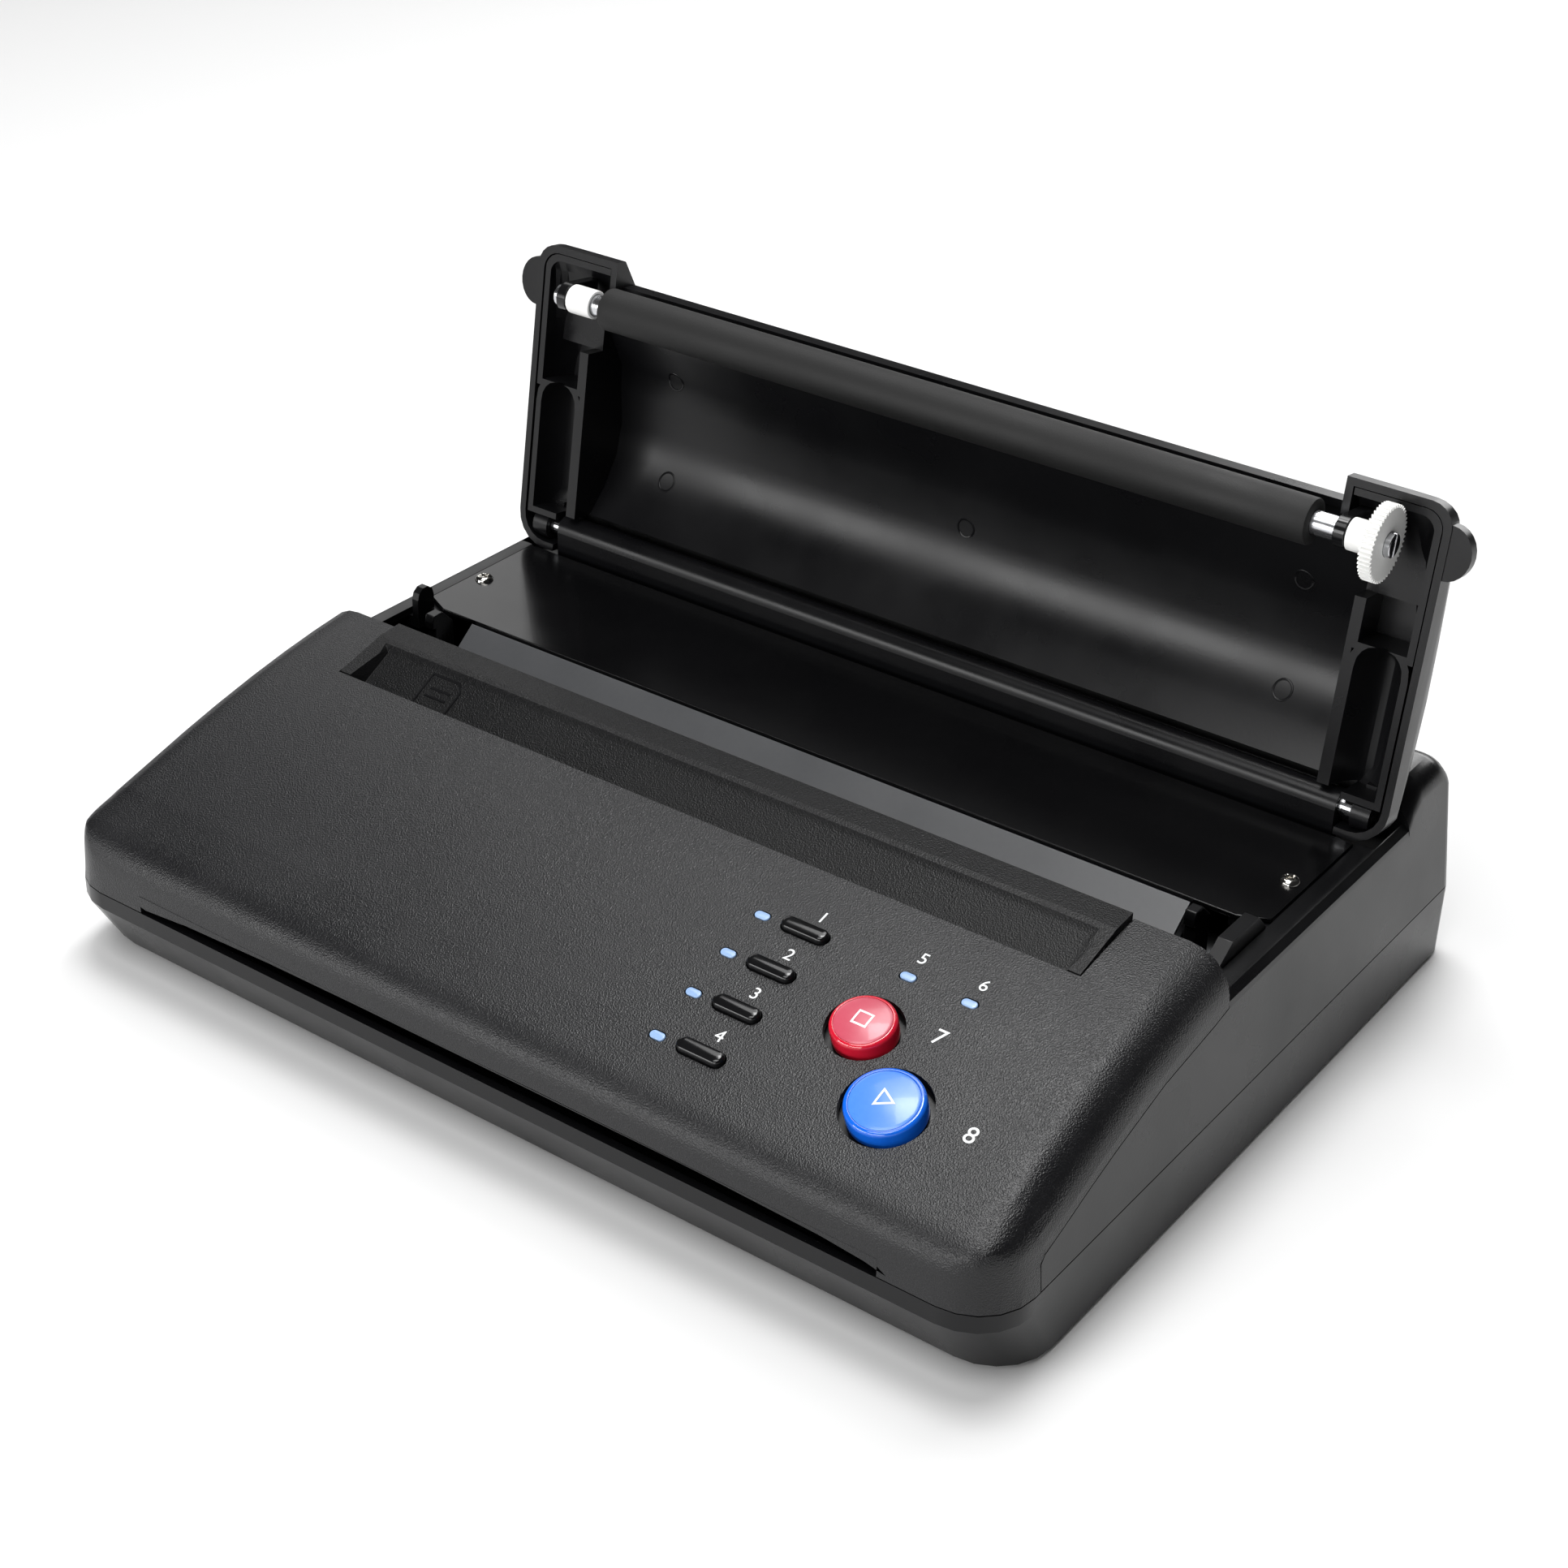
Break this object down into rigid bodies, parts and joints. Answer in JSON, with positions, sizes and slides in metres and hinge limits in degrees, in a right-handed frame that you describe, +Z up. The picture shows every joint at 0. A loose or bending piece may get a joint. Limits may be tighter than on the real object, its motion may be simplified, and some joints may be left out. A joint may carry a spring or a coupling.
{
  "type": "thermal stencil copier",
  "caption": "Desktop thermal stencil copier with a hinged lid carrying the platen roller, a document trough, push buttons and a front exit slot.",
  "frame": {"origin": "bottom centre of the machine's bounding box, on the surface it stands on", "axes": "+X to the right seen from the front, +Y to the back, +Z up; the front face is at -Y"},
  "size_m": [0.288, 0.22, 0.1382],
  "materials": {
    "grained_black_abs": "satin",
    "smooth_black_abs": "satin",
    "gloss_black_abs": "gloss",
    "steel": "satin",
    "zinc_plate": "satin",
    "rubber": "matte",
    "white_acetal": "satin",
    "aluminium": "satin",
    "head_ceramic": "satin",
    "circuit_board": "satin",
    "red_cap": "gloss",
    "blue_cap": "gloss",
    "led_lens": "satin"
  },
  "bodies": {
    "base": {"base_tray": "smooth_black_abs", "front_cover": "grained_black_abs", "document_ramp": "smooth_black_abs", "rear_casing": "smooth_black_abs", "feed_plate": "gloss_black_abs", "plate_screw_left": "steel", "plate_screw_right": "steel", "hinge_rail": "smooth_black_abs", "foot_1": "rubber", "foot_2": "rubber", "foot_3": "rubber", "foot_4": "rubber", "thermal_head_board": "head_ceramic", "thermal_head_sink": "aluminium", "head_spring_left": "zinc_plate", "head_spring_right": "zinc_plate", "gear_bracket": "smooth_black_abs", "drive_motor": "zinc_plate", "key_board": "circuit_board", "sensor_bar": "zinc_plate", "document_motor": "zinc_plate", "main_board": "circuit_board", "power_supply": "aluminium", "power_inlet": "smooth_black_abs", "power_switch_frame": "smooth_black_abs", "led_lens_1": "led_lens", "led_lens_2": "led_lens", "led_lens_3": "led_lens", "led_lens_4": "led_lens", "led_lens_5": "led_lens", "led_lens_6": "led_lens"},
    "lid": {"lid_outer_shell": "smooth_black_abs", "lid_inner_frame": "smooth_black_abs", "hinge_pin_left": "steel", "hinge_pin_right": "steel", "bearing_plate_left": "gloss_black_abs", "bearing_plate_right": "gloss_black_abs"},
    "platen": {"platen_shaft": "steel", "platen_roller": "rubber", "platen_bush": "white_acetal", "platen_gear": "white_acetal"},
    "drive_wheel": {"drive_gear": "white_acetal"},
    "idler_wheel": {"idler_gear": "white_acetal"},
    "pinion_wheel": {"motor_pinion": "zinc_plate"},
    "document_feed": {"document_roller_shaft": "steel", "document_roller": "rubber", "document_roller_gear": "white_acetal"},
    "document_pinion": {"document_motor_pinion": "zinc_plate"},
    "latch": {"latch_shaft": "steel", "latch_hook_left": "smooth_black_abs", "latch_hook_right": "smooth_black_abs"},
    "stop": {"stop_button": "red_cap"},
    "copy": {"copy_button": "blue_cap"},
    "rocker": {"power_switch_rocker": "gloss_black_abs"},
    "key_1": {"mode_key_1": "gloss_black_abs"},
    "key_2": {"mode_key_2": "gloss_black_abs"},
    "key_3": {"mode_key_3": "gloss_black_abs"},
    "key_4": {"mode_key_4": "gloss_black_abs"}
  },
  "joints": [
    {"name": "lid_hinge", "type": "hinge", "parent": "base", "child": "lid", "pos_m": [0, 0.07, 0.0567], "axis": [1, 0, 0], "range_deg": [0, 98.4]},
    {"name": "platen_spin", "type": "hinge", "parent": "lid", "child": "platen", "pos_m": [0, 0.06961, 0.12802], "axis": [1, 0, 0], "continuous": true},
    {"name": "drive_gear_spin", "type": "hinge", "parent": "base", "child": "drive_wheel", "pos_m": [0, 0.00906, 0.03367], "axis": [1, 0, 0], "continuous": true},
    {"name": "idler_gear_spin", "type": "hinge", "parent": "base", "child": "idler_wheel", "pos_m": [0, 0.0185, 0.02822], "axis": [1, 0, 0], "continuous": true},
    {"name": "motor_pinion_spin", "type": "hinge", "parent": "base", "child": "pinion_wheel", "pos_m": [0, 0.02548, 0.02568], "axis": [1, 0, 0], "continuous": true},
    {"name": "document_roller_spin", "type": "hinge", "parent": "base", "child": "document_feed", "pos_m": [0, -0.054, 0.0366], "axis": [1, 0, 0], "continuous": true},
    {"name": "document_pinion_spin", "type": "hinge", "parent": "base", "child": "document_pinion", "pos_m": [0, -0.04176, 0.0277], "axis": [1, 0, 0], "continuous": true},
    {"name": "latch_swing", "type": "hinge", "parent": "base", "child": "latch", "pos_m": [0, 0.0085, 0.0302], "axis": [-1, 0, 0], "range_deg": [0, 8], "stiffness_Nm_per_rad": 0.4, "springref_deg": -20.05},
    {"name": "power_switch_rock", "type": "hinge", "parent": "base", "child": "rocker", "pos_m": [0, 0.10228, 0.0367], "axis": [-1, 0, 0], "range_deg": [0, 12]},
    {"name": "mode_key_1_press", "type": "slide", "parent": "base", "child": "key_1", "axis": [0, 0.2418, -0.9703], "range_m": [0, 0.0012], "stiffness_N_per_m": 400, "springref_m": -0.002},
    {"name": "mode_key_2_press", "type": "slide", "parent": "base", "child": "key_2", "axis": [0, 0.2764, -0.961], "range_m": [0, 0.0012], "stiffness_N_per_m": 400, "springref_m": -0.002},
    {"name": "mode_key_3_press", "type": "slide", "parent": "base", "child": "key_3", "axis": [0, 0.3073, -0.9516], "range_m": [0, 0.0012], "stiffness_N_per_m": 400, "springref_m": -0.002},
    {"name": "mode_key_4_press", "type": "slide", "parent": "base", "child": "key_4", "axis": [0, 0.3362, -0.9418], "range_m": [0, 0.0012], "stiffness_N_per_m": 400, "springref_m": -0.002},
    {"name": "stop_button_press", "type": "slide", "parent": "base", "child": "stop", "axis": [0, 0.2862, -0.9582], "range_m": [0, 0.0012], "stiffness_N_per_m": 400, "springref_m": -0.002},
    {"name": "copy_button_press", "type": "slide", "parent": "base", "child": "copy", "axis": [0, 0.3221, -0.9467], "range_m": [0, 0.0012], "stiffness_N_per_m": 400, "springref_m": -0.002}
  ],
  "couplings": [
    {"joint": "idler_gear_spin", "follows": "drive_gear_spin", "ratio": -1.3333},
    {"joint": "motor_pinion_spin", "follows": "drive_gear_spin", "ratio": 2.2857},
    {"joint": "document_pinion_spin", "follows": "document_roller_spin", "ratio": -4.5714}
  ]
}
